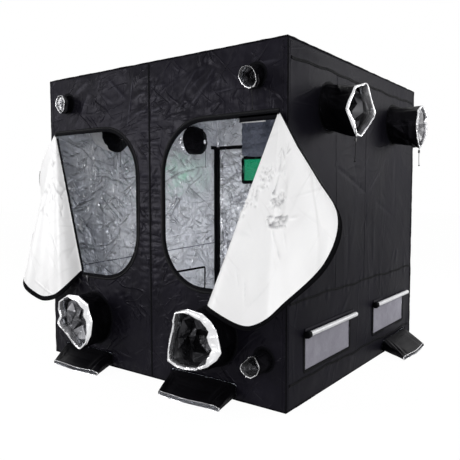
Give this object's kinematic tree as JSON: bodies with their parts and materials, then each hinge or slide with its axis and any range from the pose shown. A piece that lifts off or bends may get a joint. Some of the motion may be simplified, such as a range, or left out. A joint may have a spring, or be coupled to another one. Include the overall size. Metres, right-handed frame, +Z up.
{
  "type": "indoor grow tent",
  "caption": "Cube-shaped indoor grow tent: black fabric skin with silver lining over a steel tube frame, two open front doors, sleeve ports and mesh vents.",
  "frame": {"origin": "middle of the floor panel's underside, on the ground", "axes": "+Z up, -Y to the front with the two open doors, +X to the side with the mesh vents"},
  "size_m": [2.8845, 2.4685, 2],
  "materials": {
    "black_cloth": "coated black woven fabric, glossy",
    "silver_cloth": "reflective silver lining",
    "zip_tape": "black zip tape",
    "zip_slider": "black metal",
    "vent_mesh": "fine grey mesh",
    "window_film": "clear green film",
    "drawcord": "black cord",
    "cord_lock": "black plastic",
    "frame_tube": "white powder coat",
    "corner_piece": "white powder coat"
  },
  "bodies": {
    "tent": {"front_wall": "black_cloth", "rear_wall": "black_cloth", "right_wall": "black_cloth", "left_wall": "black_cloth", "roof_panel": "black_cloth", "floor_panel": "black_cloth", "front_upper_left_sleeve": "black_cloth", "front_upper_right_sleeve": "black_cloth", "front_lower_left_sleeve": "black_cloth", "front_lower_centre_sleeve": "black_cloth", "front_lower_right_sleeve": "black_cloth", "right_front_sleeve": "black_cloth", "right_rear_sleeve": "black_cloth", "left_front_inner_sleeve": "black_cloth", "left_rear_inner_sleeve": "black_cloth", "front_left_floor_sleeve": "black_cloth", "front_centre_floor_sleeve": "black_cloth", "right_floor_sleeve": "black_cloth", "front_left_zip": "zip_tape", "front_right_zip": "zip_tape", "rear_zip": "zip_tape", "right_front_mesh": "vent_mesh", "right_rear_mesh": "vent_mesh", "front_upper_right_cord": "drawcord", "right_front_cord": "drawcord", "right_rear_cord": "drawcord", "bottom_front_rail": "frame_tube", "bottom_rear_rail": "frame_tube", "bottom_left_rail": "frame_tube", "bottom_right_rail": "frame_tube", "top_front_rail": "frame_tube", "top_rear_rail": "frame_tube", "top_left_rail": "frame_tube", "top_right_rail": "frame_tube", "front_left_post": "frame_tube", "front_right_post": "frame_tube", "rear_left_post": "frame_tube", "rear_right_post": "frame_tube", "front_mid_post": "frame_tube", "bottom_front_left_corner": "corner_piece", "bottom_front_right_corner": "corner_piece", "bottom_rear_left_corner": "corner_piece", "bottom_rear_right_corner": "corner_piece", "top_front_left_corner": "corner_piece", "top_front_right_corner": "corner_piece", "top_rear_left_corner": "corner_piece", "top_rear_right_corner": "corner_piece"},
    "front_left_door": {"front_left_door": "silver_cloth"},
    "front_right_door": {"front_right_door": "silver_cloth"},
    "rear_door": {"rear_door": "black_cloth", "view_window": "window_film"},
    "front_left_slider": {"front_left_slider": "zip_slider"},
    "front_right_slider": {"front_right_slider": "zip_slider"},
    "rear_slider": {"rear_slider": "zip_slider"},
    "right_front_vent_roll": {"right_front_vent_roll": "silver_cloth"},
    "right_rear_vent_roll": {"right_rear_vent_roll": "silver_cloth"},
    "front_hanging_bar": {"front_hanging_bar": "frame_tube"},
    "rear_hanging_bar": {"rear_hanging_bar": "frame_tube"},
    "right_front_toggle": {"right_front_toggle": "cord_lock"},
    "right_rear_toggle": {"right_rear_toggle": "cord_lock"}
  },
  "joints": [
    {"name": "front_left_door_fold", "type": "hinge", "parent": "tent", "child": "front_left_door", "pos_m": [-0.95, -1, 1.62], "axis": [-0.2686, 0, 0.9632], "range_deg": [0, 60]},
    {"name": "front_right_door_fold", "type": "hinge", "parent": "tent", "child": "front_right_door", "pos_m": [0.95, -1, 1.62], "axis": [-0.2686, 0, -0.9632], "range_deg": [0, 40]},
    {"name": "rear_door_hinge", "type": "hinge", "parent": "tent", "child": "rear_door", "pos_m": [-0.938, 1, 0], "axis": [0, 0, 1], "range_deg": [0, 100]},
    {"name": "front_left_zip_run", "type": "slide", "parent": "tent", "child": "front_left_slider", "axis": [1, 0, 0], "range_m": [0, 0.17]},
    {"name": "front_right_zip_run", "type": "slide", "parent": "tent", "child": "front_right_slider", "axis": [-1, 0, 0], "range_m": [0, 0.17]},
    {"name": "rear_zip_run", "type": "slide", "parent": "tent", "child": "rear_slider", "axis": [1, 0, 0], "range_m": [0, 0.68]},
    {"name": "right_front_cover_seam", "type": "hinge", "parent": "tent", "child": "right_front_vent_roll", "pos_m": [1, -0.495, 0.4245], "axis": [0, -1, 0], "range_deg": [0, 80]},
    {"name": "right_rear_cover_seam", "type": "hinge", "parent": "tent", "child": "right_rear_vent_roll", "pos_m": [1, 0.515, 0.4245], "axis": [0, -1, 0], "range_deg": [0, 80]},
    {"name": "front_hanging_bar_slide", "type": "slide", "parent": "tent", "child": "front_hanging_bar", "axis": [0, 1, 0], "range_m": [-0.3, 0.3]},
    {"name": "rear_hanging_bar_slide", "type": "slide", "parent": "tent", "child": "rear_hanging_bar", "axis": [0, 1, 0], "range_m": [-0.3, 0.3]},
    {"name": "right_front_toggle_slide", "type": "slide", "parent": "tent", "child": "right_front_toggle", "axis": [0, 0, 1], "range_m": [-0.06, 0.02]},
    {"name": "right_rear_toggle_slide", "type": "slide", "parent": "tent", "child": "right_rear_toggle", "axis": [0, 0, 1], "range_m": [-0.045, 0.02]}
  ]
}
